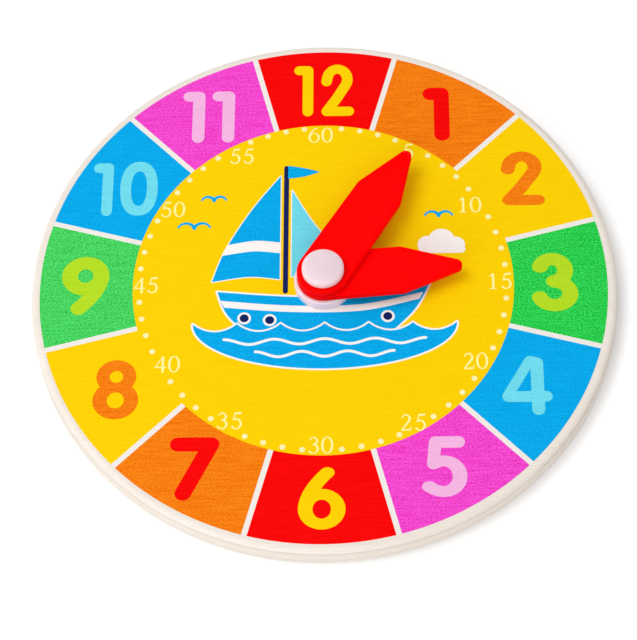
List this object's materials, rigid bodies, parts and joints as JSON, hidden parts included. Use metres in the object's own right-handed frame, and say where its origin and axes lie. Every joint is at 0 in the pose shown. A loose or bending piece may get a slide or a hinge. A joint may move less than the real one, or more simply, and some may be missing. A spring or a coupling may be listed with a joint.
{
  "type": "teaching clock",
  "caption": "Flat round teaching clock: a printed plywood disc with a short and a long plastic hand that turn freely on a snap rivet at its centre.",
  "frame": {"origin": "centre of the board's flat back face, on the axis of the hands", "axes": "+Z out of the dial along the axis of the hands, +Y towards 12 o'clock, +X towards 3 o'clock"},
  "size_m": [0.15, 0.15, 0.0156],
  "materials": {
    "plywood": "sanded birch plywood, printed on its face",
    "white_plastic": "glossy moulded plastic",
    "red_plastic": "smooth moulded plastic"
  },
  "bodies": {
    "board": {"clock_board": "plywood", "rivet_base": "white_plastic", "hub_spacer": "white_plastic", "rivet_cap": "white_plastic"},
    "hour_hand": {"hour_hand": "red_plastic"},
    "minute_hand": {"minute_hand": "red_plastic"}
  },
  "joints": [
    {"name": "hour_hand_turn", "type": "hinge", "parent": "board", "child": "hour_hand", "pos_m": [0, 0, 0.01005], "axis": [0, 0, -1], "continuous": true},
    {"name": "minute_hand_turn", "type": "hinge", "parent": "board", "child": "minute_hand", "pos_m": [0, 0, 0.01205], "axis": [0, 0, -1], "continuous": true}
  ]
}
